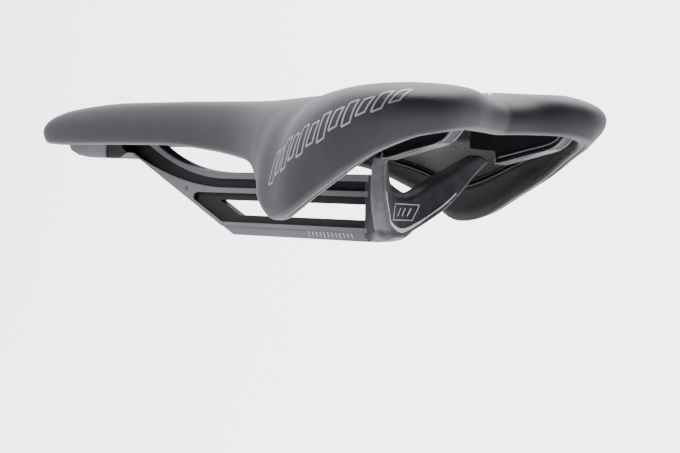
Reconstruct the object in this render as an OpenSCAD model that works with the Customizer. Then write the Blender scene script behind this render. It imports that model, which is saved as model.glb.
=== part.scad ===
// Road bicycle saddle carried by one central composite rail.
// Millimetres. The nose points towards -X, the left side is -Y and +Z is up.
// The origin is the middle of the clamp zone, half way up the rail window.

/* [Saddle] */
// Half length of the pressure relief cut-out
slot_half_len = 76; // [66:1:78]
// Half width of the pressure relief cut-out
slot_half_w = 11.5; // [9:0.5:13]
// Thickness of the outer covering
cover_t = 1; // [0.8:0.1:1.4]
// Thickness of the padding under the sit area
pad_t = 9; // [7:0.5:10]
// Thickness of the moulded shell
shell_t = 2.5; // [2:0.25:3]

/* [Rail] */
// Width over the rail flanges
rail_w = 6.4; // [6:0.2:9]
// Thickness of the web between the flanges
web_t = 3.2; // [2.4:0.2:4.4]
// Height of the top of the upper flange in the clamp zone
rail_top_z = 18; // [17:0.25:18.5]
// Height of the underside of the lower beam
rail_bottom_z = -7.5; // [-9:0.25:-7]
// Fore and aft depth of the rear arms at their root
arm_depth = 8.8; // [8:0.2:10]

/* [Fasteners] */
// Radius of the arm and socket screws' heads
screw_head_r = 3.4; // [2.8:0.1:3.8]
// Radius of the hexagon recess in each head
screw_hex_r = 1.7; // [1.4:0.1:2]

/* [Hidden] */
$fn = 48;
eps = 0.01;

// Stations around one half of the saddle, from the nose tip to the tail centre:
// widest x, widest y, edge x, edge y, edge z, cut-out angle, shoulder squareness
STATIONS = [
    [-162.5, 0, -158, 0, 31, 180, 3],
    [-160, 8.5, -156, 7, 31, 174, 3],
    [-152, 15.5, -150, 14, 30.5, 168, 3],
    [-138, 18.5, -137, 17, 30, 160, 3],
    [-112, 20, -112, 18.5, 30, 150, 3],
    [-84, 20.5, -84, 19.5, 30, 140, 3],
    [-56, 21, -56, 20.5, 29.5, 128, 3],
    [-32, 23, -32, 22.5, 27.5, 116, 2.8],
    [-12, 27, -12, 26.5, 25, 105, 2.6],
    [6, 34.5, 6, 34, 22, 97, 2.4],
    [19, 43, 19, 42, 15.5, 90, 2.3],
    [30, 51, 29, 50, 8, 86, 2.3],
    [42, 57, 39, 53.5, 2, 81, 2.4],
    [55, 62.5, 52, 58, 5, 75, 3],
    [69, 65.5, 66, 59, 12.5, 66, 3.8],
    [83, 65.5, 80, 59, 20, 55, 5],
    [97, 63, 92, 56, 26.5, 44, 5.6],
    [107.5, 55.5, 103, 50.5, 31, 33, 5],
    [112.5, 42, 109, 41, 33, 23, 4.4],
    [112, 28, 109, 27, 34.5, 15, 4],
    [108, 14, 105, 13, 34.5, 8, 3.2],
    [105, 0, 102, 0, 34, 0, 3.2]
];
half_n = 32;
ring_n = 2 * half_n;
prof_n = 9;
slot_mid_x = 16;

// Centre line heights of the top, from nose to tail
CREST = [
    [-165, 45], [-145, 47], [-125, 47.3], [-95, 47.5], [-60, 47], [-25, 46.3],
    [0, 46], [25, 47], [60, 47.6], [95, 48], [115, 46.5]
];
lobe_h = 1.6;
lobe_x = 88;
lobe_y = 32;
lobe_rx = 55;
lobe_ry = 24;

// Catmull-Rom value between b and c
function cr(a, b, c, d, t) =
    b + 0.5 * t * ((c - a) + t * ((2 * a - 5 * b + 4 * c - d) + t * (3 * (b - c) + d - a)));
function cap(i, n) = max(0, min(n - 1, i));
function row(table, s) =
    let (n = len(table), i = min(floor(s), n - 2), t = s - i)
    cr(table[cap(i - 1, n)], table[i], table[i + 1], table[cap(i + 2, n)], t);
function lookup_x(table, x, i = 0) =
    (i >= len(table) - 2 || x < table[i + 1][0]) ?
        let (
            n = len(table),
            t = max(0, min(1, (x - table[i][0]) / (table[i + 1][0] - table[i][0])))
        )
        cr(table[cap(i - 1, n)][1], table[i][1], table[i + 1][1], table[cap(i + 2, n)][1], t)
    : lookup_x(table, x, i + 1);
function spow(v, e) = sign(v) * pow(abs(v), e);
function unit(v) = v / max(norm(v), eps / 100);

function top_z(x, y) =
    lookup_x(CREST, x)
    + lobe_h * exp(-pow((x - lobe_x) / lobe_rx, 2) - pow((abs(y) - lobe_y) / lobe_ry, 2))
    - 3.2 * exp(-pow((x - 108) / 14, 2) - pow(y / 16, 2));

// Point of the outer skin at ring station s and profile angle a; with d given, the
// point that lies d outside the cut-out. An inner layer is the same curve drawn
// in by deep at the top, and less towards the lower edge, so it can't fold over itself
function skin(s, ang, d = 0, deep = 0) =
    let (
        side = s <= half_n ? -1 : 1,
        u = s <= half_n ? s : ring_n - s,
        r = row(STATIONS, u * (len(STATIONS) - 1) / half_n),
        ix = slot_mid_x + slot_half_len * spow(cos(r[5]), 0.66),
        iy = slot_half_w * spow(sin(r[5]), 0.66),
        e = 2 / r[6],
        reach = norm([r[0] - ix, r[1] - iy]),
        a = d == 0 ? ang : asin(pow(d / reach, 1 / e)),
        f = pow(sin(a), e),
        g = pow(cos(a), e),
        rim_h = top_z(ix, iy) - r[4],
        room = min(1, (rim_h - 4.4) / (pad_t + cover_t + shell_t)),
        tuck = pow(1 - g * (1 - deep * room / rim_h), 3),
        x = ix + (r[0] - ix) * f + (r[2] - r[0]) * tuck,
        y = iy + (r[1] - iy) * f + (r[3] - r[1]) * tuck,
        z = r[4] + (top_z(x, y) - deep * room - r[4]) * g
    )
    [x, side * max(y, 0), z];

ANGLES = [for (k = [0:prof_n]) 90 * pow(k / prof_n, 0.9)];
SKIN = [for (s = [0:ring_n - 1]) [for (a = ANGLES) skin(s, a)]];
NORMALS = [for (s = [0:ring_n - 1]) [for (k = [0:prof_n])
    let (
        along = SKIN[(s + 1) % ring_n][k] - SKIN[(s + ring_n - 1) % ring_n][k],
        down = SKIN[s][min(k + 1, prof_n)] - SKIN[s][max(k - 1, 0)]
    )
    unit(cross(along, down))
]];

// The cover has one thickness along the normal; deeper layers are drawn in
side_t = 1.9;
sign_in = NORMALS[0][0][2] > 0 ? 1 : -1;
function drawn_in(side, top) = [for (s = [0:ring_n - 1])
    let (
        n = NORMALS[s][prof_n],
        out = sign_in * unit([n[0], n[1], 0]),
        r = row(STATIONS, min(s, ring_n - s) * (len(STATIONS) - 1) / half_n)
    )
    [for (a = ANGLES) skin(s, a, 0, top) - side * pow(sin(a), 2 / r[6]) * out]
];
L0 = SKIN;
L1 = [for (s = [0:ring_n - 1]) [for (k = [0:prof_n])
    SKIN[s][k] - sign_in * cover_t * NORMALS[s][k]
]];
L2 = drawn_in(cover_t + side_t, cover_t + pad_t);
L3 = drawn_in(cover_t + side_t + shell_t, cover_t + pad_t + shell_t);
L4 = drawn_in(cover_t + side_t + shell_t + 1, cover_t + pad_t + shell_t + 1);

// A closed ring of sections, each a list of the same number of points
module ring_solid(sections) {
    n = len(sections);
    m = len(sections[0]);
    points = [for (s = sections) each s];
    faces = [for (i = [0:n - 1]) for (j = [0:m - 1])
        let (
            a = i * m + j,
            b = i * m + (j + 1) % m,
            c = ((i + 1) % n) * m + (j + 1) % m,
            d = ((i + 1) % n) * m + j
        )
        each [[a, c, b], [a, d, c]]
    ];
    polyhedron(points, faces);
}

// An open run of sections with a flat cap on each end
module run_solid(sections) {
    n = len(sections);
    m = len(sections[0]);
    points = [for (s = sections) each s];
    sides = [for (i = [0:n - 2]) for (j = [0:m - 1])
        let (
            a = i * m + j,
            b = i * m + (j + 1) % m,
            c = (i + 1) * m + (j + 1) % m,
            d = (i + 1) * m + j
        )
        each [[a, c, b], [a, d, c]]
    ];
    first = [for (j = [0:m - 1]) j];
    last = [for (j = [0:m - 1]) n * m - 1 - j];
    polyhedron(points, concat([first], sides, [last]));
}

module between(upper, lower) {
    ring_solid([for (s = [0:ring_n - 1]) concat(
        [for (k = [0:prof_n]) upper[s][k]],
        [for (k = [prof_n:-1:0]) lower[s][k]]
    )]);
}

module cover() {
    color("#3a3b42") between(L0, L1);
}

module padding() {
    color("#8f8f96") between(L1, L2);
}

module shell() {
    color("#202124") between(L2, L3);
}

// Strip that closes the lower edge and turns in under the shell
hem_k = 7;
hem_drop = 1;
module cover_hem() {
    color("#2b2c31") ring_solid([for (s = [0:ring_n - 1])
        let (
            a = L0[s][prof_n],
            b = L3[s][prof_n],
            c = L3[s][hem_k],
            d = L4[s][hem_k],
            e = L4[s][prof_n] - [0, 0, hem_drop],
            f = L0[s][prof_n] - [0, 0, hem_drop]
        )
        [f, e, L4[s][hem_k + 1], d, c, L3[s][hem_k + 1], b, a]
    ]);
}

// Bead along the inner end of the turned-in strip
bead_w = 2.4;
module hem_bead() {
    color("#17181a") ring_solid([for (s = [0:ring_n - 1])
        let (
            p = L3[s][hem_k],
            q = L3[s][hem_k - 1],
            n = unit(L4[s][hem_k] - p),
            t = unit(q - p)
        )
        [p + 1.2 * n, p + 0.5 * bead_w * t + 1.9 * n, p + bead_w * t + 1.2 * n, p + bead_w * t, p]
    ]);
}

// Lining of the cut-out, from the skin down past the shell
liner_t = 0.8;
module slot_liner() {
    color("#2e2f35") ring_solid([for (s = [0:ring_n - 1])
        let (
            a = L0[s][0],
            b = L3[s][0],
            m = [slot_mid_x, 0, 0],
            t = unit([m[0] - a[0], -a[1] * 4, 0])
        )
        [a, b, b + liner_t * t, a + liner_t * t]
    ]);
}

// White stitches round the cut-out
stitch_gap = 2.4;
stitch_len = 3;
stitch_h = 0.7;
stitch_w = 0.8;
module slot_stitching() {
    color("#f2f2f0")
    for (s = [0.5:1:ring_n - 0.5]) {
        p = skin(s, 0, stitch_gap);
        q = skin(s + 0.1, 0, stitch_gap);
        dir = atan2(q[1] - p[1], q[0] - p[0]);
        translate(p)
            rotate([0, 0, dir])
            cube([stitch_len, stitch_w, stitch_h], center = true);
    }
}

// ---- central rail ----
clamp_rear_x = 40;
flange_t = 2.3;
low_beam_top_z = -2.4;
mid_top_z = 11.6;
mid_t = 2.1;
edge_h = 1.7;
web_rim = 3;
strut_slope = -0.5;
strut_x0 = -105.6;
strut_z0 = 27.6;
tip_z = 34;
tip_x = -121;

function bend(x, start, run, rise, power) =
    x > start ? 0 : rise * pow((start - x) / run, power);
function strut_low(x) = strut_z0 + strut_slope * (x - strut_x0);

// A side profile given a width across the saddle
module across(w) {
    rotate([90, 0, 0]) linear_extrude(w, center = true) children();
}

// Smooth band between two heights over a range of x
band_step = 4;
module band(x0, x1) {
    xs = [for (x = [x0:band_step:x1 - eps]) x];
    all_x = concat(xs, [x1]);
    polygon(concat(
        [for (x = all_x) [x, $hi[0] + bend(x, $hi[1], $hi[2], $hi[3], $hi[4])]],
        [for (i = [len(all_x) - 1:-1:0])
            let (x = all_x[i]) [x, $lo[0] + bend(x, $lo[1], $lo[2], $lo[3], $lo[4])]]
    ));
}

up_hi = [rail_top_z, -34.6, 50, 11.2, 2.6];
up_lo = [rail_top_z - flange_t - 0.4, -41, 50, 14.5, 1.95];
mid_hi = [mid_top_z, -41, 65, 16.8, 1.95];

module below_tip() {
    intersection() {
        children();
        translate([-200, -100]) square([400, 100 + tip_z]);
    }
}

// Upper beam: top flange and the web under it, down to the middle flange
module rail_upper_beam() {
    color("#6e6f75") {
        across(rail_w) below_tip() band(-98, clamp_rear_x, $hi = up_hi, $lo = up_lo);
        across(web_t) below_tip() band(-108, clamp_rear_x, $hi = up_lo, $lo = mid_hi);
    }
}

// Nose strut: middle flange, the solid gusset and the straight lower brace
window_x = -58.4;
window_r = 1.8;
brace_rise = 1.8;
strut_foot_x = strut_x0 + (rail_bottom_z - strut_z0) / strut_slope;
strut_knee_x = strut_x0 + (low_beam_top_z - strut_z0) / strut_slope;
module strut_side() {
    xs = [for (x = [tip_x:band_step:-40]) x];
    wz = mid_top_z - mid_t - window_r;
    polygon(concat(
        [for (x = xs) [x, mid_hi[0] + bend(x, mid_hi[1], mid_hi[2], mid_hi[3], mid_hi[4])]],
        [[clamp_rear_x, mid_top_z], [clamp_rear_x, mid_top_z - mid_t]],
        [for (a = [90:12:246]) [window_x + window_r * cos(a), wz + window_r * sin(a)]],
        [[strut_knee_x - brace_rise / strut_slope, low_beam_top_z]],
        [[strut_knee_x, low_beam_top_z], [tip_x, strut_low(tip_x)]]
    ));
}
module rail_nose_strut() {
    color("#6e6f75") {
        across(rail_w) below_tip() strut_side();
        across(web_t) polygon([
            [-61, 8.5], [-58, mid_top_z - 1], [clamp_rear_x, mid_top_z - 1],
            [clamp_rear_x, mid_top_z - mid_t - web_rim], [-45, mid_top_z - mid_t - web_rim],
            [-33, low_beam_top_z + web_rim], [-33, low_beam_top_z],
            [strut_knee_x + 2, low_beam_top_z], [-61, strut_low(-61) + 1]
        ]);
    }
}

// Lower beam: the flat bar the clamp holds from below
module rail_lower_beam() {
    color("#5c5d63") {
        across(rail_w) polygon([
            [strut_knee_x, low_beam_top_z], [clamp_rear_x, low_beam_top_z],
            [clamp_rear_x, low_beam_top_z - edge_h], [strut_knee_x + 2 * edge_h, low_beam_top_z - edge_h]
        ]);
        across(rail_w - 1.2) polygon([
            [strut_knee_x + 2 * edge_h, low_beam_top_z - edge_h],
            [clamp_rear_x, low_beam_top_z - edge_h],
            [clamp_rear_x, rail_bottom_z], [strut_foot_x, rail_bottom_z]
        ]);
        across(web_t) translate([-33, low_beam_top_z]) square([clamp_rear_x + 33, web_rim]);
    }
}

// Rear block that ties the beams together under the fork of the arms
// x, half width, lowest z, z where the side starts, top z
BLOCK = [
    [40, 3.2, -7.5, -5.6, 18], [43, 4.2, -7.5, -5.2, 16.4], [46, 6, -7.3, -4.6, 13.6],
    [49, 7.2, -6.9, -4, 11.6], [52, 7.2, -6.1, -3.3, 10.4], [55.3, 7.2, -4.8, -2.4, 9.6]
];
block_steps = 10;
function block_section(i) =
    let (
        r = row(BLOCK, i * 5 / block_steps),
        w = r[1]
    )
    [
        [r[0], -w * 0.45, r[2]], [r[0], w * 0.45, r[2]],
        [r[0], w * 0.85, 0.4 * r[2] + 0.6 * r[3]], [r[0], w, r[3] + 1],
        [r[0], w, r[4] - 1], [r[0], w - 0.8, r[4]],
        [r[0], 0.8 - w, r[4]], [r[0], -w, r[4] - 1],
        [r[0], -w, r[3] + 1], [r[0], -w * 0.85, 0.4 * r[2] + 0.6 * r[3]]
    ];
module rail_rear_block() {
    color("#55565b") run_solid([for (i = [0:block_steps]) block_section(i)]);
}

// Lower and upper edges of an arm's rear face, from the block outwards
ARM_LOW = [[55.5, 7.2, -2.6], [59, 12.5, 1.5], [62, 17, 5.5], [65, 21.3, 11], [69.5, 26.4, 19.5],
    [73, 29, 23.8]];
ARM_TOP = [[56.5, 7.2, 11.8], [59, 11.2, 15], [61, 14.3, 17.4], [63, 17, 19.6], [67, 22, 23.6],
    [70.5, 25, 26.5]];
arm_steps = 15;
function arm_section(i) =
    let (
        s = i * 5 / arm_steps,
        lo = row(ARM_LOW, s),
        hi = row(ARM_TOP, s),
        up = unit(hi - lo),
        fx = [arm_depth - 0.45 * s, 0, 0],
        r = 1.4
    )
    [
        lo + r * up, lo + 0.4 * r * up - [0.4 * r, 0, 0], lo - [r, 0, 0],
        lo - fx + [r, 0, 0], lo - fx + 0.4 * r * up + [0.4 * r, 0, 0], lo - fx + r * up,
        hi - fx - r * up, hi - fx - 0.4 * r * up + [0.4 * r, 0, 0], hi - fx + [r, 0, 0],
        hi - [r, 0, 0], hi - 0.4 * r * up - [0.4 * r, 0, 0], hi - r * up
    ];
module arm() {
    run_solid([for (i = [0:arm_steps]) arm_section(i)]);
}
module rail_arm_right() {
    color("#5f6066") arm();
}
module rail_arm_left() {
    color("#5f6066") mirror([0, 1, 0]) arm();
}

// ---- nose fixing ----
module strut_way() {
    polygon([[tip_x, strut_low(tip_x)], [-94, strut_low(-94)], [-94, 40], [tip_x, 40]]);
}
module nose_socket() {
    color("#a5a6ab") difference() {
        across(18) polygon([
            [-140, 30], [-137.5, 26.6], [-132, 24.5], [-124, 23.4], [-113, 23.2],
            [-113, tip_z + 1.1], [-140, tip_z + 0.2]
        ]);
        translate([-128, 0, 20]) cylinder(h = 8, r = screw_head_r + 0.3);
        across(rail_w) strut_way();
    }
}
module nose_wedge() {
    color("#1c1c1f") difference() {
        across(16) polygon([
            [-113, 23.2], [-104, 23.2], [-99, 25.6], [-103, 28.4], [-106, tip_z + 1.2], [-113, tip_z + 1.1]
        ]);
        across(rail_w) strut_way();
    }
}
module nose_screw() {
    color("#c9cacd") difference() {
        translate([-128, 0, 25]) cylinder(h = 3, r = screw_head_r);
        translate([-128, 0, 24]) cylinder(h = 3, r = screw_hex_r, $fn = 6);
    }
}

// ---- rear mounts ----
mount_y = 29.4;
mount_w = 4.2;
lip_w = 5.4;
lip_h = 1.6;
mount_top_z = 36.6;
MOUNT_LOW = [[75, 25], [76, 22.8], [89, 25.6], [101.5, 28.6], [107.5, 33.8]];
mount_front_x = 62;
mount_front_z = 28;
lip_y = mount_y - 0.6;
module wing_mount() {
    rotate([90, 0, 0]) union() {
        translate([0, 0, -mount_y - mount_w]) linear_extrude(mount_w)
            polygon(concat(
                [for (p = MOUNT_LOW) p + [0, lip_h / 2]],
                [[107.5, mount_top_z], [mount_front_x, mount_top_z]],
                [[mount_front_x, mount_front_z + 1], [74, mount_front_z]]
            ));
        translate([0, 0, -lip_y - lip_w]) linear_extrude(lip_w)
            polygon(concat(MOUNT_LOW, [for (i = [4:-1:0]) MOUNT_LOW[i] + [0, lip_h]]));
    }
}
module wing_mount_right() {
    color("#1b1c1f") wing_mount();
}
module wing_mount_left() {
    color("#1b1c1f") mirror([0, 1, 0]) wing_mount();
}

// Pale plate under the notch of the tail
module tail_bridge() {
    color("#b9bac0") translate([90.5, -10, 34.3]) cube([9, 20, 1.3]);
}

cover();
cover_hem();
hem_bead();
padding();
shell();
slot_liner();
slot_stitching();
rail_upper_beam();
rail_nose_strut();
rail_lower_beam();
rail_rear_block();
rail_arm_left();
rail_arm_right();
nose_socket();
nose_wedge();
nose_screw();
wing_mount_left();
wing_mount_right();
tail_bridge();
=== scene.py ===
import bpy
import bmesh
import math
from mathutils import Vector, Matrix


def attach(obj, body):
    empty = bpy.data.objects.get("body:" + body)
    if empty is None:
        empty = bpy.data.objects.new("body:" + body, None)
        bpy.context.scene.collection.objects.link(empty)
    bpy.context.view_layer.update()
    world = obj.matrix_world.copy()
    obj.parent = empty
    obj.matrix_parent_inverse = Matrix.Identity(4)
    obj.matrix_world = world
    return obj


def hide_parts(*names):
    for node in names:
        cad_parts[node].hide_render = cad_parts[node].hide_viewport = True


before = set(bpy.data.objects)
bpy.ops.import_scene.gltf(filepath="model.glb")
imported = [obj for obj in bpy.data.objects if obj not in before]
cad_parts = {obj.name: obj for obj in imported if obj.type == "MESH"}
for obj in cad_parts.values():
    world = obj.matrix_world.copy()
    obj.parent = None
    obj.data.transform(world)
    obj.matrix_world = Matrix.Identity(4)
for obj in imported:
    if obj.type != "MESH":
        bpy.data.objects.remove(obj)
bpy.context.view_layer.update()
MM = 0.001

# ------------------------------------------------------------------ camera
# The saddle is seen from behind its left side, from almost level with it
AZ, EL, ROLL = math.radians(43.88), math.radians(1.35), math.radians(1.45)
back = Vector((math.sin(AZ) * math.cos(EL), -math.cos(AZ) * math.cos(EL), math.sin(EL)))
flat_right = Vector((math.cos(AZ), math.sin(AZ), 0))
flat_up = back.cross(flat_right)
cam_x = math.cos(ROLL) * flat_right + math.sin(ROLL) * flat_up
cam_y = -math.sin(ROLL) * flat_right + math.cos(ROLL) * flat_up
eye = Vector((0.02253, 0, -0.0022)) + back * 0.6283
cam_data = bpy.data.cameras.new("camera")
cam_data.sensor_width = 36
cam_data.lens = 86.2
cam_data.clip_start = 0.01
cam_data.clip_end = 60
cam = bpy.data.objects.new("camera", cam_data)
bpy.context.scene.collection.objects.link(cam)
m = Matrix((cam_x, cam_y, back)).transposed().to_4x4()
m.translation = eye
cam.matrix_world = m
bpy.context.scene.camera = cam


# --------------------------------------------------------------- materials
def material(name):
    mat = bpy.data.materials.new(name)
    mat.use_nodes = True
    nt = mat.node_tree
    return mat, nt, nt.nodes["Principled BSDF"]


def node(nt, kind, **sets):
    n = nt.nodes.new(kind)
    for k, v in sets.items():
        if k in n.inputs:
            n.inputs[k].default_value = v
        else:
            setattr(n, k, v)
    return n


def ramp(nt, source, stops):
    r = nt.nodes.new("ShaderNodeValToRGB")
    els = r.color_ramp.elements
    els[0].position, els[0].color = stops[0][0], (*stops[0][1], 1)
    els[1].position, els[1].color = stops[-1][0], (*stops[-1][1], 1)
    for p, c in stops[1:-1]:
        e = els.new(p)
        e.color = (*c, 1)
    nt.links.new(source, r.inputs[0])
    return r.outputs[0]


def coords(nt, scale=(1, 1, 1)):
    tc = nt.nodes.new("ShaderNodeTexCoord")
    mp = nt.nodes.new("ShaderNodeMapping")
    mp.inputs["Scale"].default_value = scale
    nt.links.new(tc.outputs["Object"], mp.inputs[0])
    return mp.outputs[0]


def noise(nt, vec, scale, detail=3.0, rough=0.5):
    n = node(nt, "ShaderNodeTexNoise", Scale=scale, Detail=detail, Roughness=rough)
    nt.links.new(vec, n.inputs["Vector"])
    return n.outputs["Fac"]


def math_node(nt, op, a, b=0.0, c=0.0):
    n = nt.nodes.new("ShaderNodeMath")
    n.operation = op
    for i, v in enumerate((a, b, c)):
        if isinstance(v, (int, float)):
            n.inputs[i].default_value = v
        else:
            nt.links.new(v, n.inputs[i])
    return n.outputs[0]


def bump(nt, bsdf, height, strength, distance, after=None):
    b = node(nt, "ShaderNodeBump", Strength=strength, Distance=distance)
    nt.links.new(height, b.inputs["Height"])
    if after is not None:
        nt.links.new(after, b.inputs["Normal"])
    nt.links.new(b.outputs[0], bsdf.inputs["Normal"])
    return b.outputs[0]


def grained(name, lo, hi, rough, grain, depth, mottle=30, sheen=0.0, coat=0.0, metal=0.0,
            spec=0.5):
    """A moulded, woven or coated surface: mottled colour, fine grain, varied gloss."""
    mat, nt, bsdf = material(name)
    vec = coords(nt)
    big = noise(nt, vec, mottle, 4.0, 0.6)
    nt.links.new(ramp(nt, big, [(0.3, lo), (0.7, hi)]), bsdf.inputs["Base Color"])
    fine = noise(nt, vec, grain, 2.0, 0.7)
    mid = noise(nt, vec, grain * 0.22, 2.0, 0.6)
    mix = math_node(nt, "MULTIPLY_ADD", mid, 0.5, fine)
    r = math_node(nt, "MULTIPLY_ADD", big, rough[1] - rough[0], rough[0])
    nt.links.new(r, bsdf.inputs["Roughness"])
    bump(nt, bsdf, mix, 0.6, depth)
    bsdf.inputs["Sheen Weight"].default_value = sheen
    bsdf.inputs["Sheen Roughness"].default_value = 0.45
    bsdf.inputs["Coat Weight"].default_value = coat
    bsdf.inputs["Coat Roughness"].default_value = 0.08
    bsdf.inputs["Metallic"].default_value = metal
    bsdf.inputs["Specular IOR Level"].default_value = spec
    return mat


def microfibre():
    mat, nt, bsdf = material("microfibre")
    vec = coords(nt)
    nap = noise(nt, vec, 55, 5.0, 0.65)
    nt.links.new(ramp(nt, nap, [(0.3, (0.021, 0.0214, 0.0255)), (0.7, (0.028, 0.0284, 0.0335))]),
                 bsdf.inputs["Base Color"])
    cell = node(nt, "ShaderNodeTexVoronoi", Scale=1500.0)
    cell.feature = "F1"
    nt.links.new(vec, cell.inputs["Vector"])
    fibre = noise(nt, coords(nt, (1, 2.4, 1.6)), 2600, 2.0, 0.7)
    h = math_node(nt, "MULTIPLY_ADD", cell.outputs["Distance"], 0.8, fibre)
    nt.links.new(math_node(nt, "MULTIPLY_ADD", nap, 0.12, 0.58), bsdf.inputs["Roughness"])
    bump(nt, bsdf, h, 0.35, 0.00012)
    bsdf.inputs["Sheen Weight"].default_value = 0.1
    bsdf.inputs["Sheen Roughness"].default_value = 0.5
    bsdf.inputs["Sheen Tint"].default_value = (0.8, 0.82, 0.9, 1)
    bsdf.inputs["Specular IOR Level"].default_value = 0.28
    return mat


def two_tone(name, limit, dark, light, rough_d, rough_l):
    """Composite beam: flange edges light and satin, the recessed web black."""
    mat, nt, bsdf = material(name)
    vec = coords(nt)
    sep = nt.nodes.new("ShaderNodeSeparateXYZ")
    nt.links.new(vec, sep.inputs[0])
    side = math_node(nt, "ABSOLUTE", sep.outputs["Y"])
    mask = math_node(nt, "GREATER_THAN", side, limit)
    big = noise(nt, vec, 60, 4.0, 0.6)
    lo = ramp(nt, big, [(0.3, dark), (0.7, tuple(c * 1.5 for c in dark))])
    hi = ramp(nt, big, [(0.25, light), (0.75, tuple(c * 1.12 for c in light))])
    mix = nt.nodes.new("ShaderNodeMix")
    mix.data_type = "RGBA"
    nt.links.new(mask, mix.inputs[0])
    nt.links.new(lo, mix.inputs[6])
    nt.links.new(hi, mix.inputs[7])
    nt.links.new(mix.outputs[2], bsdf.inputs["Base Color"])
    r = math_node(nt, "MULTIPLY_ADD", mask, rough_l - rough_d, rough_d)
    r2 = math_node(nt, "MULTIPLY_ADD", big, 0.12, r)
    nt.links.new(r2, bsdf.inputs["Roughness"])
    fine = noise(nt, vec, 2200, 2.0, 0.6)
    bump(nt, bsdf, fine, 0.3, 0.00006)
    bsdf.inputs["Specular IOR Level"].default_value = 0.28
    return mat


def chopped(name, lo, hi, rough, spec=0.5):
    """Chopped-fibre composite: small angular flakes, each with its own tone."""
    mat, nt, bsdf = material(name)
    vec = coords(nt, (1.0, 1.5, 1.2))
    cell = node(nt, "ShaderNodeTexVoronoi", Scale=320.0)
    nt.links.new(vec, cell.inputs["Vector"])
    sepc = nt.nodes.new("ShaderNodeSeparateColor")
    nt.links.new(cell.outputs["Color"], sepc.inputs[0])
    big = noise(nt, vec, 90, 5.0, 0.65)
    tone = math_node(nt, "MULTIPLY_ADD", sepc.outputs[0], 0.35, math_node(nt, "MULTIPLY", big, 0.75))
    nt.links.new(ramp(nt, tone, [(0.2, lo), (0.8, hi)]), bsdf.inputs["Base Color"])
    nt.links.new(math_node(nt, "MULTIPLY_ADD", sepc.outputs[1], 0.14, rough), bsdf.inputs["Roughness"])
    fine = noise(nt, vec, 1500, 3.0, 0.6)
    bump(nt, bsdf, fine, 0.3, 0.00008)
    bsdf.inputs["Specular IOR Level"].default_value = spec
    return mat


MAT = {
    "skin": microfibre(),
    "hem": grained("hem_fabric", (0.012, 0.012, 0.014), (0.03, 0.03, 0.034), (0.6, 0.85), 1700,
                   0.00022, 80, sheen=0.2),
    "bead": grained("bead_rubber", (0.01, 0.01, 0.011), (0.02, 0.02, 0.022), (0.3, 0.45), 900, 0.00005),
    "foam": grained("foam_core", (0.28, 0.28, 0.3), (0.4, 0.4, 0.42), (0.85, 1.0), 700, 0.0004),
    "shell": grained("shell_gloss", (0.008, 0.008, 0.009), (0.014, 0.014, 0.016), (0.2, 0.34), 420,
                     0.00004, 25, spec=0.22),
    "liner": grained("liner_fabric", (0.02, 0.02, 0.023), (0.035, 0.035, 0.04), (0.6, 0.8), 1500,
                     0.0001, 70),
    "thread": grained("thread_white", (0.72, 0.72, 0.72), (0.86, 0.86, 0.85), (0.55, 0.7), 3500,
                      0.0001, 300),
    "rail": two_tone("rail_composite", 0.0024, (0.003, 0.003, 0.0035), (0.15, 0.151, 0.168), 0.5, 0.32),
    "fork": chopped("fork_composite", (0.014, 0.0144, 0.0165), (0.040, 0.041, 0.046), 0.44, 0.3),
    "mark": grained("mark_white", (0.60, 0.61, 0.64), (0.72, 0.73, 0.76), (0.4, 0.5), 1500, 0.00002, 200),
    "print": grained("print_grey", (0.24, 0.245, 0.27), (0.32, 0.325, 0.35), (0.45, 0.6), 2400,
                     0.00003, 300),
    "socket": grained("socket_plastic", (0.22, 0.22, 0.245), (0.27, 0.27, 0.295), (0.38, 0.5), 1200,
                      0.00006, 60),
    "wedge": grained("wedge_rubber", (0.014, 0.014, 0.016), (0.03, 0.03, 0.033), (0.5, 0.7), 1100, 0.0001),
    "steel": grained("screw_steel", (0.45, 0.45, 0.47), (0.6, 0.6, 0.62), (0.22, 0.35), 900, 0.00003,
                     metal=1.0),
    "mount": grained("mount_gloss", (0.009, 0.009, 0.010), (0.016, 0.016, 0.018), (0.34, 0.46), 500, 0.00004,
                     40, spec=0.12),
    # pale grey of the mount lips: a painted highlight, the glint along the glossy black rims, not a colour
    # of their own
    "lip_highlight": grained("mount_lip_painted_highlight", (0.11, 0.11, 0.12), (0.16, 0.16, 0.175), (0.25, 0.35), 800, 0.00003, 80),
    "plate": grained("plate_pale", (0.4, 0.41, 0.44), (0.6, 0.61, 0.65), (0.3, 0.5), 260, 0.0006, 120),
}


# ------------------------------------------------------------ mesh helpers
def piece(name, verts, faces, mat, smooth=True):
    me = bpy.data.meshes.new(name)
    me.from_pydata([tuple(v) for v in verts], [], faces)
    me.validate()
    bm = bmesh.new()
    bm.from_mesh(me)
    bmesh.ops.recalc_face_normals(bm, faces=bm.faces)
    bm.to_mesh(me)
    bm.free()
    if smooth:
        me.polygons.foreach_set("use_smooth", [True] * len(me.polygons))
    ob = bpy.data.objects.new(name, me)
    bpy.context.scene.collection.objects.link(ob)
    me.materials.append(mat)
    return ob


def ring_faces(n, k, closed=True):
    faces = []
    for i in range(n if closed else n - 1):
        for j in range(k):
            a, b = i * k + j, i * k + (j + 1) % k
            i2 = (i + 1) % n
            c, d = i2 * k + (j + 1) % k, i2 * k + j
            faces.append((a, b, c, d))
    return faces


def ring_solid(name, sections, mat):
    k = len(sections[0])
    verts = [v for s in sections for v in s]
    return piece(name, verts, ring_faces(len(sections), k), mat)


def run_mesh(sections):
    k = len(sections[0])
    n = len(sections)
    verts = [v for s in sections for v in s]
    faces = ring_faces(n, k, closed=False)
    faces.append(tuple(range(k)))
    faces.append(tuple(range((n - 1) * k, n * k)))
    return verts, faces


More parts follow.
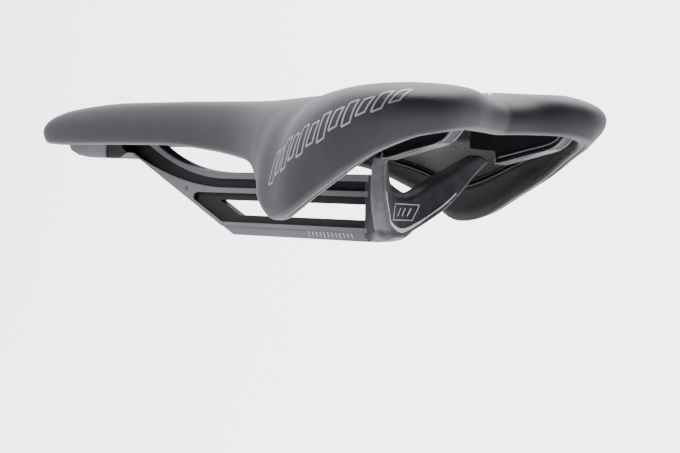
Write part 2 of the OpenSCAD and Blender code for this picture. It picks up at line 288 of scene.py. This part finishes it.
def merged(name, parts, mat, smooth=False):
    """One object from parts = [(vertices, faces)]."""
    verts, faces = [], []
    for v, f in parts:
        b = len(verts)
        verts += v
        faces += [tuple(b + n for n in p) for p in f]
    return piece(name, verts, faces, mat, smooth)


def baked(ob, *mods):
    """Adds modifiers, then replaces the mesh with the result."""
    for kind, sets in mods:
        md = ob.modifiers.new(kind.lower(), kind)
        for key, value in sets.items():
            setattr(md, key, value)
    dg = bpy.context.evaluated_depsgraph_get()
    me = bpy.data.meshes.new_from_object(ob.evaluated_get(dg))
    old = ob.data
    ob.modifiers.clear()
    ob.data = me
    bpy.data.meshes.remove(old)
    me.polygons.foreach_set("use_smooth", [True] * len(me.polygons))
    return ob


def done(ob, slot, *nodes):
    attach(ob, "root")
    if nodes:
        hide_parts(*nodes)
    return ob


def paint(node_name, mat):
    """Gives its material to a CAD node that stays visible."""
    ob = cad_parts[node_name]
    ob.data.materials.clear()
    ob.data.materials.append(mat)


# ------------------------------------------------- the saddle's skin, in mm
# A station is one place round the cover, from the nose along the left side to the tail: outer edge
# x and y, lower edge x and y, height of the lower edge, angle round the cut-out, roundness.
STATIONS = [
    (-162.5, 0, -158, 0, 31, 180, 3), (-160, 8.5, -156, 7, 31, 174, 3),
    (-152, 15.5, -150, 14, 30.5, 168, 3), (-138, 18.5, -137, 17, 30, 160, 3),
    (-112, 20, -112, 18.5, 30, 150, 3), (-84, 20.5, -84, 19.5, 30, 140, 3),
    (-56, 21, -56, 20.5, 29.5, 128, 3), (-32, 23, -32, 22.5, 27.5, 116, 2.8),
    (-12, 27, -12, 26.5, 25, 105, 2.6), (6, 34.5, 6, 34, 22, 97, 2.4),
    (19, 43, 19, 42, 15.5, 90, 2.3), (30, 51, 29, 50, 8, 86, 2.3),
    (42, 57, 39, 53.5, 2, 81, 2.4), (55, 62.5, 52, 58, 5, 75, 3),
    (69, 65.5, 66, 59, 12.5, 66, 3.8), (83, 65.5, 80, 59, 20, 55, 5),
    (97, 63, 92, 56, 26.5, 44, 5.6), (107.5, 55.5, 103, 50.5, 31, 33, 5),
    (112.5, 42, 109, 41, 33, 23, 4.4), (112, 28, 109, 27, 34.5, 15, 4),
    (108, 14, 105, 13, 34.5, 8, 3.2), (105, 0, 102, 0, 34, 0, 3.2),
]
CREST = [(-165, 45), (-145, 47), (-125, 47.3), (-95, 47.5), (-60, 47), (-25, 46.3), (0, 46),
         (25, 47), (60, 47.6), (95, 48), (115, 46.5)]
SLOT_MID, SLOT_HALF_LEN, SLOT_HALF_W = 16, 76, 11.5
SLOT_POWER = 0.66
LOBE_RISE, LOBE_X, LOBE_Y = 1.6, 88, 32
DIP_DEPTH, DIP_X = 3.2, 108
COVER_T, PAD_T, SHELL_T, HEM_T = 1.0, 9.0, 2.5, 1.0
PAD_SIDE = 1.9
# Side height that is left free of the layers
LEAST_SIDE = 4.4
RING = 256


def catmull_rom(a, b, c, d, t):
    """Smooth value between b and c at t from 0 to 1, with a and d as the neighbours."""
    return b + 0.5 * t * ((c - a) + t * ((2 * a - 5 * b + 4 * c - d) + t * (3 * (b - c) + d - a)))


def row(table, s):
    """Smooth row of a table at the place s, which needn't be whole."""
    n = len(table)
    i = min(int(math.floor(s)), n - 2)
    t = s - i
    g = [table[max(0, min(n - 1, k))] for k in (i - 1, i, i + 1, i + 2)]
    return [catmull_rom(a, b, c, d, t) for a, b, c, d in zip(*g)]


def crest(x):
    i = 0
    while i < len(CREST) - 2 and x >= CREST[i + 1][0]:
        i += 1
    t = max(0, min(1, (x - CREST[i][0]) / (CREST[i + 1][0] - CREST[i][0])))
    g = [CREST[max(0, min(len(CREST) - 1, k))][1] for k in (i - 1, i, i + 1, i + 2)]
    return catmull_rom(*g, t)


def top_z(x, y):
    lobe = LOBE_RISE * math.exp(-((x - LOBE_X) / 55) ** 2 - ((abs(y) - LOBE_Y) / 24) ** 2)
    dip = DIP_DEPTH * math.exp(-((x - DIP_X) / 14) ** 2 - (y / 16) ** 2)
    return crest(x) + lobe - dip


def signed_power(v, e):
    return math.copysign(abs(v) ** e, v)


def ring_row(s):
    """Control values at ring station s, 0 to 1 from nose to tail on the left, 1 to 2 back on the right."""
    u = s if s <= 1 else 2 - s
    return row(STATIONS, u * (len(STATIONS) - 1)), (-1 if s <= 1 else 1)


def skin(s, a, d=None, top=0.0, side_in=0.0, out=None):
    """Outer skin point at ring station s and profile angle a in degrees, or d mm outside the cut-out.

    An inner layer is the same curve drawn in by top mm at the crest and side_in mm at the edge."""
    r, side = ring_row(s % 2)
    c = math.radians(r[5])
    ix = SLOT_MID + SLOT_HALF_LEN * signed_power(math.cos(c), SLOT_POWER)
    iy = SLOT_HALF_W * signed_power(math.sin(c), SLOT_POWER)
    e = 2 / r[6]
    if d is not None:
        a = math.degrees(math.asin(min(1, (d / math.hypot(r[0] - ix, r[1] - iy)) ** (1 / e))))
    ar = math.radians(a)
    f = max(0, math.sin(ar)) ** e
    g = max(0, math.cos(ar)) ** e
    rim_h = top_z(ix, iy) - r[4]
    room = min(1, (rim_h - LEAST_SIDE) / (COVER_T + PAD_T + SHELL_T))
    tuck = (1 - g * (1 - top * room / rim_h)) ** 3
    x = ix + (r[0] - ix) * f + (r[2] - r[0]) * tuck
    y = iy + (r[1] - iy) * f + (r[3] - r[1]) * tuck
    p = Vector((x, side * max(y, 0), r[4] + (top_z(x, y) - top * room - r[4]) * g))
    return p if out is None else p - out * side_in * f


# Columns of a profile: distances over the rounded rim of the cut-out, then angles down the side
RIM_D = [0, 0.35, 0.8, 1.4, 2.1, 3.0, 4.2, 6.0]
RIM_R = 2.6
SIDE_ANGLES = [20 + 70 * (k / 30) ** 0.92 for k in range(31)]
COLUMNS = len(RIM_D) + len(SIDE_ANGLES)


def rim_at(s):
    """The rim columns' distances at station s, drawn together where the side is narrow."""
    wide = (skin(s, 20).xy - skin(s, 0).xy).length
    steady = 3
    left = max(0.3, wide - steady)
    return [d if d <= steady else min(d, steady + left * (0.66 if d > 5 else 0.33)) for d in RIM_D]


def profile(s):
    pts = []
    for d in rim_at(s):
        p = skin(s, 0, max(d, 0.02))
        if d < RIM_R:
            p.z -= RIM_R - math.sqrt(RIM_R ** 2 - (RIM_R - d) ** 2)
        pts.append(p)
    for a in SIDE_ANGLES:
        pts.append(skin(s, a))
    return pts


GRID = [profile(2 * i / RING) for i in range(RING)]


def outward_normal(i, k):
    along = GRID[(i + 1) % RING][k] - GRID[i - 1][k]
    down = GRID[i][min(k + 1, COLUMNS - 1)] - GRID[i][max(k - 1, 0)]
    return down.cross(along).normalized()


NORMALS = [[outward_normal(i, k) for k in range(COLUMNS)] for i in range(RING)]


def profile_place(k):
    """Profile place of column k, 0 at the cut-out and 1 at the lower edge."""
    if k < len(RIM_D):
        return 0.0
    return (SIDE_ANGLES[k - len(RIM_D)] / 90) ** (1 / 0.9)


# How far layers 2, 3 and 4 are drawn in, at the lower edge and at the crest
SIDE_IN = {
    2: COVER_T + PAD_SIDE, 3: COVER_T + PAD_SIDE + SHELL_T, 4: COVER_T + PAD_SIDE + SHELL_T + HEM_T,
}
TOP_IN = {2: COVER_T + PAD_T, 3: COVER_T + PAD_T + SHELL_T, 4: COVER_T + PAD_T + SHELL_T + HEM_T}


def layer(i, which, k, extra=0.0):
    """Point of layer 0 skin, 1 under the cover, 2 under the foam, 3 under the shell, 4 under the hem."""
    p = GRID[i][k]
    n = NORMALS[i][k]
    s = 2 * i / RING
    if which == 0:
        return p + extra * n
    if which == 1 and k < len(RIM_D):
        d = RIM_D[k]
        if d >= RIM_R:
            return p - (COVER_T - extra) * n
        c = skin(s, 0, RIM_R) - Vector((0, 0, RIM_R))
        return c + (p - c) * ((RIM_R - COVER_T + extra) / RIM_R)
    if which == 1:
        return p - (COVER_T - extra) * n
    along = GRID[(i + 1) % RING][COLUMNS - 1] - GRID[i - 1][COLUMNS - 1]
    out = Vector((along.y, -along.x, 0)).normalized()
    if k < len(RIM_D):
        q = skin(s, 0, max(rim_at(s)[k], 0.02), TOP_IN[which], SIDE_IN[which], out)
    else:
        q = skin(s, SIDE_ANGLES[k - len(RIM_D)], None, TOP_IN[which], SIDE_IN[which], out)
    return q + extra * n


def metres(p):
    return p * MM


LAST = COLUMNS - 1
cols = range(COLUMNS)


def between(upper, lower, gap=0.0):
    """Ring sections that fill the space between two layers, gap mm short of both."""
    made = []
    for i in range(RING):
        up = [layer(i, upper, k, -gap) for k in cols]
        low = [layer(i, lower, k, gap) for k in reversed(cols)]
        made.append([metres(p) for p in up + low])
    return made


# cover: from the rim of the cut-out to a rolled lower edge
sections = []
for i in range(RING):
    outer = [layer(i, 0, k) for k in cols]
    edge = outer[-1]
    inward = layer(i, 3, LAST) - edge
    roll = []
    for t, dz in ((0.12, 0.7), (0.35, 1.15), (0.6, 1.2)):
        roll.append(edge + inward * t - Vector((0, 0, dz)))
    inner = [layer(i, 1, k) for k in reversed(cols)]
    sections.append([metres(p) for p in outer + roll + inner])
cover = ring_solid("cover_skin", sections, MAT["skin"])
cover.data.materials.append(MAT["hem"])
# the rolled lower edge takes the strip's fabric
for n, poly in enumerate(cover.data.polygons):
    if LAST <= n % len(sections[0]) <= LAST + 2:
        poly.material_index = 1
done(cover, "cover", "cover")

# foam between the cover and the shell
foam = ring_solid("foam_pad", between(1, 2, 0.03), MAT["foam"])
done(foam, "foam", "padding")

# moulded shell
shell = ring_solid("shell_moulding", between(2, 3), MAT["shell"])
done(shell, "shell", "shell")

# turned-in hem: fabric strip from the lower edge in over the shell, with fine puckers
HEM_START = 7 / 9
HEM_K = next(k for k in cols if profile_place(k) > HEM_START)
sections = []
for i in range(RING):
    pucker = 0.16 * math.sin(i * 1.9) + 0.1 * math.sin(i * 0.83 + 1)
    edge = layer(i, 0, LAST)
    inward = layer(i, 3, LAST) - edge
    up = [layer(i, 3, k) for k in range(HEM_K, COLUMNS)]
    lo = [layer(i, 4, k, 0.12 - pucker * (1 if k < LAST - 2 else 0.3))
          for k in range(LAST, HEM_K - 1, -1)]
    lo[0] = edge + inward * 0.98 - Vector((0, 0, 1.0))
    foot = [edge + inward * t - Vector((0, 0, dz)) for t, dz in ((0.62, 0.1), (0.62, 1.2), (0.8, 1.25))]
    sections.append([metres(p) for p in up + foot + lo])
hem = ring_solid("hem_strip", sections, MAT["hem"])
done(hem, "hem", "cover_hem")

# bead that locks the end of the hem, with a second small ridge beside it
BEAD_H, RIDGE_H, BEAD_END = 1.45, 0.7, 2.9
sections = []
for i in range(RING):
    p = layer(i, 3, HEM_K)
    t = (layer(i, 3, HEM_K - 1) - p).normalized()
    n = (layer(i, 4, HEM_K) - p).normalized()
    pts = [p]
    for j in range(9):
        a = math.pi * j / 8
        lump = BEAD_H * math.sin(a)
        pts.append(p + t * (0.9 - 0.95 * math.cos(a)) + n * (0.15 + lump))
    pts.append(p + t * 1.9)
    for j in range(1, 6):
        a = math.pi * j / 6
        pts.append(p + t * (2.4 - 0.5 * math.cos(a)) + n * (RIDGE_H * math.sin(a)))
    pts.append(p + t * BEAD_END)
    sections.append([metres(v) for v in pts])
bead = ring_solid("hem_bead_ridge", sections, MAT["bead"])
done(bead, "bead", "hem_bead")

# lining of the cut-out, turned over the rim of the foam
SPINE_HALF_LEN = 62
sections = []
for i in range(RING):
    a = layer(i, 0, 0)
    b = Vector((a.x, a.y, layer(i, 3, 0).z - 0.3))
    spine_x = SLOT_MID + max(-SPINE_HALF_LEN, min(SPINE_HALF_LEN, a.x - SLOT_MID))
    t = Vector((spine_x - a.x, 0 - a.y, 0)).normalized()
    mid = a.lerp(b, 0.5)
    sections.append([metres(v) for v in (
        a + Vector((0, 0, 0.25)) - t * 0.25, a - t * 0.1 - Vector((0, 0, 0.6)), mid - t * 0.05, b - t * 0.02,
        b + t * 0.55 - Vector((0, 0, 0.3)), b + t * 0.8 + Vector((0, 0, 0.4)), mid + t * 0.6,
        a + t * 0.7 - Vector((0, 0, 0.5)), a + t * 0.5 + Vector((0, 0, 0.1)))])
liner = ring_solid("slot_lining", sections, MAT["liner"])
done(liner, "hem", "slot_liner")


# stitches: short raised threads that dip into the skin at both ends
STITCH_D, STITCH_PITCH, STITCH_LENGTH = 1.15, 3.9, 2.7
SAMPLES = 2000


def thread(p, q, up, r=0.42):
    secs = []
    side = (q - p).cross(up).normalized()
    for j in range(9):
        t = j / 8
        c = p.lerp(q, t) + up * (0.34 * math.sin(math.pi * t) - 0.22)
        rr = r * (0.55 + 0.45 * math.sin(math.pi * t))
        twist = 1.1 * t
        secs.append([metres(c + (side * math.cos(a) + up * math.sin(a)) * rr)
                     for a in [twist + 2 * math.pi * n / 8 for n in range(8)]])
    return run_mesh(secs)


def along_ring(dist, pitch, length):
    """Pairs of ring stations along the line dist mm outside the cut-out."""
    fine = [skin(2 * i / SAMPLES, 0, dist) for i in range(SAMPLES + 1)]
    acc = [0.0]
    for a, b in zip(fine, fine[1:]):
        acc.append(acc[-1] + (b - a).length)
    n = int(acc[-1] / pitch)
    step = acc[-1] / n
    out = []
    j = 0
    for i in range(n):
        ends = []
        for target in (i * step, i * step + length):
            while j < SAMPLES - 1 and acc[j + 1] < target:
                j += 1
            f = (target - acc[j]) / max(1e-9, acc[j + 1] - acc[j])
            ends.append(2 * (j + f) / SAMPLES)
        out.append(ends)
    return out


drop = Vector((0, 0, RIM_R - math.sqrt(RIM_R ** 2 - (RIM_R - STITCH_D) ** 2)))
threads = []
for s0, s1 in along_ring(STITCH_D, STITCH_PITCH, STITCH_LENGTH):
    p = skin(s0, 0, STITCH_D)
    q = skin(s1, 0, STITCH_D)
    outward = skin(s0, 0, 3.2) - p
    outward = Vector((outward.x, outward.y, 0)).normalized()
    up = (Vector((0, 0, RIM_R - drop.z)) - outward * (RIM_R - STITCH_D)).normalized()
    threads.append(thread(p - drop, q - drop, up))
stitches = merged("slot_stitches", threads, MAT["thread"], True)
done(stitches, "thread", "slot_stitching")


# ---------------------------------------------------------------- the fork
# Rear face of an arm from the middle outwards: its lower edge, its upper edge and its depth
ARM_LOW = [(54.4, 0, -5.2), (55.5, 7.2, -2.6), (59, 12.5, 1.5), (62, 17, 5.5), (65, 21.3, 11),
           (69.5, 26.4, 19.5), (73, 29, 23.8)]
ARM_TOP = [(54.9, 0, 9.8), (56.5, 7.2, 11.8), (59, 11.2, 15), (61, 14.3, 17.4), (63, 17, 19.6),
           (67, 22, 23.6), (70.5, 25, 26.5)]
ARM_DEEP = [(11.5,), (8.8,), (8.35,), (7.9,), (7.45,), (7,), (6.5,)]


def mirrored(table, sign=(1, -1, 1)):
    """A table of one arm made into a table of both, from left to right."""
    left = [tuple(a * b for a, b in zip(r, sign)) for r in reversed(table[1:])]
    return left + list(table)


LOWS, TOPS = mirrored(ARM_LOW), mirrored(ARM_TOP)
DEEPS = mirrored(ARM_DEEP, (1,))


def fork_at(s):
    lo, hi = Vector(row(LOWS, s)), Vector(row(TOPS, s))
    return lo, hi, row(DEEPS, s)[0]


FORK_EDGE_R = 1.5


def fork_section(s):
    """Rounded rectangle between the arm's edges."""
    lo, hi, deep = fork_at(s)
    up = (hi - lo).normalized()
    fx = Vector((deep, 0, 0))
    pts = []
    corners = [(lo, Vector((-1, 0, 0)), up), (lo - fx, Vector((1, 0, 0)), up),
               (hi - fx, Vector((1, 0, 0)), -up), (hi, Vector((-1, 0, 0)), -up)]
    for n, (c, ax, ay) in enumerate(corners):
        arc = []
        for a in (0, 30, 60, 90):
            ca, sa = 1 - math.cos(math.radians(a)), 1 - math.sin(math.radians(a))
            arc.append(c + ax * FORK_EDGE_R * ca + ay * FORK_EDGE_R * sa)
        pts += arc if n % 2 == 0 else list(reversed(arc))
    return [metres(p) for p in pts]


ARM_STEPS = 96
FORK_MID = len(ARM_LOW) - 1
arms = [fork_section(2 * FORK_MID * i / ARM_STEPS) for i in range(ARM_STEPS + 1)]
# Neck between the beams and the fork: x, half width, underside, foot of the side, top
BLOCK = [(36, 3.2, -7.5, -5.6, 18), (40, 3.2, -7.5, -5.6, 18), (43, 4.2, -7.5, -5.2, 16.4),
         (46, 6, -7.3, -4.6, 13.6), (49, 7.2, -6.9, -4, 11.6), (52, 7.2, -6.1, -3.3, 10.4),
         (54.3, 7, -5.0, -2.6, 9.8)]
NECK_STEPS = 24
# The neck starts a little way inside the rear end of the beams, at its third step
NECK_FIRST = 2
neck = []
for i in range(NECK_FIRST, NECK_STEPS + 1):
    x, w, zb, zs, zt = row(BLOCK, (len(BLOCK) - 1) * i / NECK_STEPS)
    neck.append([metres(Vector(p)) for p in (
        (x, -w * 0.45, zb), (x, w * 0.45, zb), (x, w * 0.85, 0.4 * zb + 0.6 * zs), (x, w, zs + 1),
        (x, w, zt - 1), (x, w - 0.8, zt), (x, 0.8 - w, zt), (x, -w, zt - 1), (x, -w, zs + 1),
        (x, -w * 0.85, 0.4 * zb + 0.6 * zs))])
fork = merged("rear_fork", [run_mesh(arms), run_mesh(neck)], MAT["fork"], True)
baked(fork, ("REMESH", {"mode": "VOXEL", "voxel_size": 0.00045, "adaptivity": 0.0}),
      ("SMOOTH", {"factor": 0.5, "iterations": 8}))
done(fork, "composite", "rail_rear_block", "rail_arm_left", "rail_arm_right")


def rear_point(s, v, lift):
    """Point and normal of the fork's rear face at place s, v from 0 low to 1 high."""
    lo, hi, _ = fork_at(s)
    p = lo.lerp(hi, v)
    ds = fork_at(s + 0.05)[0].lerp(fork_at(s + 0.05)[1], v) - p
    n = ds.cross(hi - lo).normalized()
    if n.x < 0:
        n = -n
    return p + n * lift, n


def ribbon(centre, width, thick=0.14):
    """A thin printed strip through the points of centre = [(point, normal)], width in mm at each."""
    secs = []
    n = len(centre)
    for i, (p, nn) in enumerate(centre):
        t = centre[min(i + 1, n - 1)][0] - centre[max(i - 1, 0)][0]
        side = t.cross(nn).normalized()
        w = width[i] / 2
        secs.append([metres(p + side * w), metres(p + side * w + nn * thick),
                     metres(p - side * w + nn * thick), metres(p - side * w)])
    return run_mesh(secs)


# pinstripe low on the fork's rear face, thickest in the middle
PRINT_LIFT = 0.06
PIN_STEPS = 120
PIN_REACH = 3.8
line = []
widths = []
for i in range(PIN_STEPS + 1):
    s = 2.2 + 7.6 * i / PIN_STEPS
    edge = abs(s - FORK_MID) / PIN_REACH
    line.append(rear_point(s, 0.17 + 0.05 * edge, PRINT_LIFT))
    widths.append(0.5 + 1.1 * max(0, 1 - edge * 2.2) ** 1.2)
pinstripe = merged("fork_pinstripe", [ribbon(line, widths)], MAT["mark"])
done(pinstripe, "composite")

# outlined badge on the fork: a plain slanted frame with three strokes in it
# Length of the rear face, in mm, for one row of the fork's table near its middle
FACE_MM = 7.2
badge = []


def on_face(u, z):
    """Point of the rear face u mm to the right of the middle, at height z."""
    s = FORK_MID + u / FACE_MM
    lo, hi, _ = fork_at(s)
    return rear_point(s, (z - lo.z) / (hi.z - lo.z), PRINT_LIFT)


def drawn(points, place, steps):
    """place(u, v) at steps points on each leg of a path, and at its end."""
    made = []
    for (u0, v0), (u1, v1) in zip(points, points[1:]):
        for j in range(steps):
            t = j / steps
            made.append(place(u0 + (u1 - u0) * t, v0 + (v1 - v0) * t))
    made.append(place(*points[-1]))
    return made


def badge_line(points, w):
    pts = drawn(points, on_face, 6)
    badge.append(ribbon(pts, [w] * len(pts), 0.1))


badge_line([(-6.0, 1.4), (4.6, 1.2), (7.6, 7.0), (-5.2, 7.4), (-6.0, 1.4)], 0.28)
for u0 in (-2.6, 0.0, 2.6):
    badge_line([(u0 - 0.4, 2.8), (u0 + 1.2, 5.8)], 0.42)
marks = merged("fork_badge", badge, MAT["mark"])
done(marks, "composite")

# ------------------------------------------------------------ central rail
for name in ("rail_upper_beam", "rail_nose_strut", "rail_lower_beam"):
    paint(name, MAT["rail"])

# fore and aft scale on the lower beam, both sides
TICKS, TICK_START_X, TICK_PITCH = 12, 8, 2.1
TICK_Y, TICK_TOP_Z, TICK_SLANT, TICK_W = 2.66, -4.6, 0.9, 0.3
ticks = []
for side in (-1, 1):
    for i in range(TICKS):
        x = TICK_START_X + TICK_PITCH * i
        long = 2.3 if i % 4 == 0 else 1.7
        y = side * TICK_Y
        a = Vector((x, y, TICK_TOP_Z))
        b = Vector((x + TICK_SLANT, y, TICK_TOP_Z - long))
        n = Vector((0, side, 0))
        ticks.append(ribbon([(a - n * 0.05, n), (b - n * 0.05, n)], [TICK_W, TICK_W], 0.1))
ticks_ob = merged("rail_scale_ticks", ticks, MAT["mark"])
done(ticks_ob, "composite")

# moulded pin on each side of the rail, ahead of its window
PIN_X, PIN_Z = -64.7, 10.9
PIN_SIDES = 16
pins = []
for side in (-1, 1):
    rings = []
    for y, r in ((3.0, 1.0), (3.24, 1.0), (3.3, 0.85), (3.3, 0.5), (3.12, 0.4), (3.12, 0.02)):
        rings.append([metres(Vector((PIN_X + r * math.cos(a), side * y, PIN_Z + r * math.sin(a))))
                      for a in [2 * math.pi * n / PIN_SIDES for n in range(PIN_SIDES)]])
    pins.append(run_mesh(rings))
pin_ob = merged("rail_pins", pins, MAT["wedge"], True)
done(pin_ob, "composite")

for name, mat in (("nose_socket", "socket"), ("nose_wedge", "wedge"), ("nose_screw", "steel"),
                  ("tail_bridge", "plate")):
    paint(name, MAT[mat])

# -------------------------------------------------------------- rear mounts
for name in ("wing_mount_left", "wing_mount_right"):
    paint(name, MAT["mount"])

# rounded lips along the lower edge of each mount's two walls, and a thin raised line above them; their pale
# grey is a painted highlight for the glint along the glossy black rims
MOUNT_LOW = [(75, 25), (76, 22.9), (89, 25.7), (101.5, 28.7), (107.4, 33.8)]
LIP_YS, LIP_RISE, LIP_R = (28.95, 34.05), 0.55, 0.42
LINE_Y, LINE_RISE, LINE_R = 28.75, 2.6, 0.3


def rod(points, r, n=10):
    """A round rod of n sides through points that share one y, half as thick at its ends."""
    secs = []
    for i, p in enumerate(points):
        t = (points[min(i + 1, len(points) - 1)] - points[max(i - 1, 0)]).normalized()
        a = t.cross(Vector((0, 1, 0))).normalized()
        b = t.cross(a)
        rr = r * (0.5 if i in (0, len(points) - 1) else 1)
        secs.append([metres(p + (a * math.cos(2 * math.pi * j / n) + b * math.sin(2 * math.pi * j / n)) * rr)
                     for j in range(n)])
    return run_mesh(secs)


def mount_line(table, reach, steps, y, rise):
    """Points rise mm above the lower edge, over the first reach rows of the table."""
    places = [row(table, reach * i / steps) for i in range(steps + 1)]
    return [Vector((x, y, z + rise)) for x, z in places]


for label, sign in (("left", -1), ("right", 1)):
    parts = []
    for y in LIP_YS:
        parts.append(rod(mount_line(MOUNT_LOW, 4, 40, sign * y, LIP_RISE), LIP_R))
    parts.append(rod(mount_line(MOUNT_LOW[1:], 2.6, 30, sign * LINE_Y, LINE_RISE), LINE_R, 6))
    # lips and raised line share the pale painted-highlight grey
    lips = merged("mount_lip_painted_highlight_" + label, parts, MAT["lip_highlight"], True)
    done(lips, "gloss_black")

# ------------------------------------------------- printed bars on the wings
# Ring station, and the profile angles of the band's low and high edges
BAND = [(0.562, 79.5, 66), (0.60, 78, 64.5), (0.643, 79.5, 65), (0.682, 82, 67.5), (0.728, 82.5, 65.5),
        (0.765, 79.5, 59.5), (0.797, 71.5, 47), (0.816, 66, 42)]


def band_point(t, v):
    """t from 0 to 1 along the wing's shoulder, v from 0 low to 1 high."""
    u, lo, hi = row(BAND, t * (len(BAND) - 1))
    a = lo + (hi - lo) * v
    p = skin(u, a)
    du = skin(u + 0.002, a) - p
    da = skin(u, a + 0.4) - p
    n = du.cross(da).normalized()
    inside = Vector((p.x - 10, 0, 20))
    if n.dot(p - inside) < 0:
        n = -n
    return p, n


BAND_STEPS = 400
MIDLINE = [band_point(i / BAND_STEPS, 0.5)[0] for i in range(BAND_STEPS + 1)]
RUN = [0.0]
for p, q in zip(MIDLINE, MIDLINE[1:]):
    RUN.append(RUN[-1] + (q - p).length)


def at_mm(mm):
    """Band parameter at a distance in mm along its middle."""
    mm = max(0, min(RUN[-1], mm))
    j = next((k for k in range(BAND_STEPS) if RUN[k + 1] >= mm), BAND_STEPS - 1)
    return (j + (mm - RUN[j]) / max(1e-9, RUN[j + 1] - RUN[j])) / BAND_STEPS


BARS, BAR_SHARE, BAR_LEAN, BAR_LINE = 12, 0.62, 3.2, 0.6
BAND_START, BAND_SPARE = 1, 6


def on_wing(mm, v):
    return band_point(at_mm(mm), v)


def wing_bars(sign):
    """Outlines of the bars, on the left wing for sign 1 and on the right for -1."""
    parts = []
    pitch = (RUN[-1] - BAND_SPARE) / BARS
    for i in range(BARS):
        low, high = (0.12, 0.88) if i % 2 else (0.0, 1.0)
        x0 = BAND_START + pitch * i
        x1 = x0 + pitch * BAR_SHARE
        corners = [(x0, low), (x1, low), (x1 + BAR_LEAN, high), (x0 + BAR_LEAN, high), (x0, low)]
        pts = drawn(corners, on_wing, 8)
        line = [(Vector((p.x, p.y * sign, p.z)), Vector((n.x, n.y * sign, n.z))) for p, n in pts]
        parts.append(ribbon(line, [BAR_LINE] * len(line), 0.12))
    return parts


for label, sign in (("left", 1), ("right", -1)):
    g = merged("wing_bars_" + label, wing_bars(sign), MAT["print"])
    done(g, "cover")

# -------------------------------------------------------- floor and light
floor_z = -0.62
half_floor = 7
verts, faces = [], []
cove_x, cove_r = 2.2, 1.6
cove = [(cove_x + cove_r * math.sin(math.radians(a)), cove_r - cove_r * math.cos(math.radians(a)))
        for a in range(0, 91, 6)]
prof = [(-6, 0)] + cove + [(cove_x + cove_r, 7)]
away = Vector((-back.x, -back.y, 0)).normalized()
side = Vector((away.y, -away.x, 0))
for d, z in prof:
    for w in (-half_floor, half_floor):
        p = away * d + side * w
        verts.append(Vector((p.x, p.y, floor_z + z)))
for i in range(len(prof) - 1):
    faces.append((2 * i, 2 * i + 1, 2 * i + 3, 2 * i + 2))
floor_mat, nt, bsdf = material("studio_paper")
bsdf.inputs["Base Color"].default_value = (0.9, 0.905, 0.93, 1)
bsdf.inputs["Roughness"].default_value = 0.9
floor = piece("studio_floor", verts, faces, floor_mat)

world = bpy.data.worlds.new("studio")
bpy.context.scene.world = world
world.use_nodes = True
wbg = world.node_tree.nodes["Background"]
wbg.inputs[0].default_value = (0.93, 0.94, 1.0, 1)
wbg.inputs[1].default_value = 0.16


def area(name, at, target, size, power, tint=(1, 1, 1)):
    data = bpy.data.lights.new(name, "AREA")
    data.shape = "RECTANGLE"
    data.size, data.size_y = size
    data.energy = power
    data.color = tint
    ob = bpy.data.objects.new(name, data)
    ob.location = at
    ob.rotation_euler = (Vector(target) - Vector(at)).to_track_quat("-Z", "Y").to_euler()
    bpy.context.scene.collection.objects.link(ob)
    return ob


area("key", (-0.9, -0.9, 0.75), (-0.02, 0, 0.02), (0.9, 0.7), 27)
area("top", (0.05, 0.1, 1.1), (0.02, 0, 0.03), (0.9, 0.6), 4)
area("rim", (0.3, 1.2, 0.25), (0.03, 0, 0.02), (1.0, 0.5), 2)
area("paper_wash", (-0.6, 1.4, 2.6), (-1.6, 2.2, 0.2), (3.0, 1.5), 560)
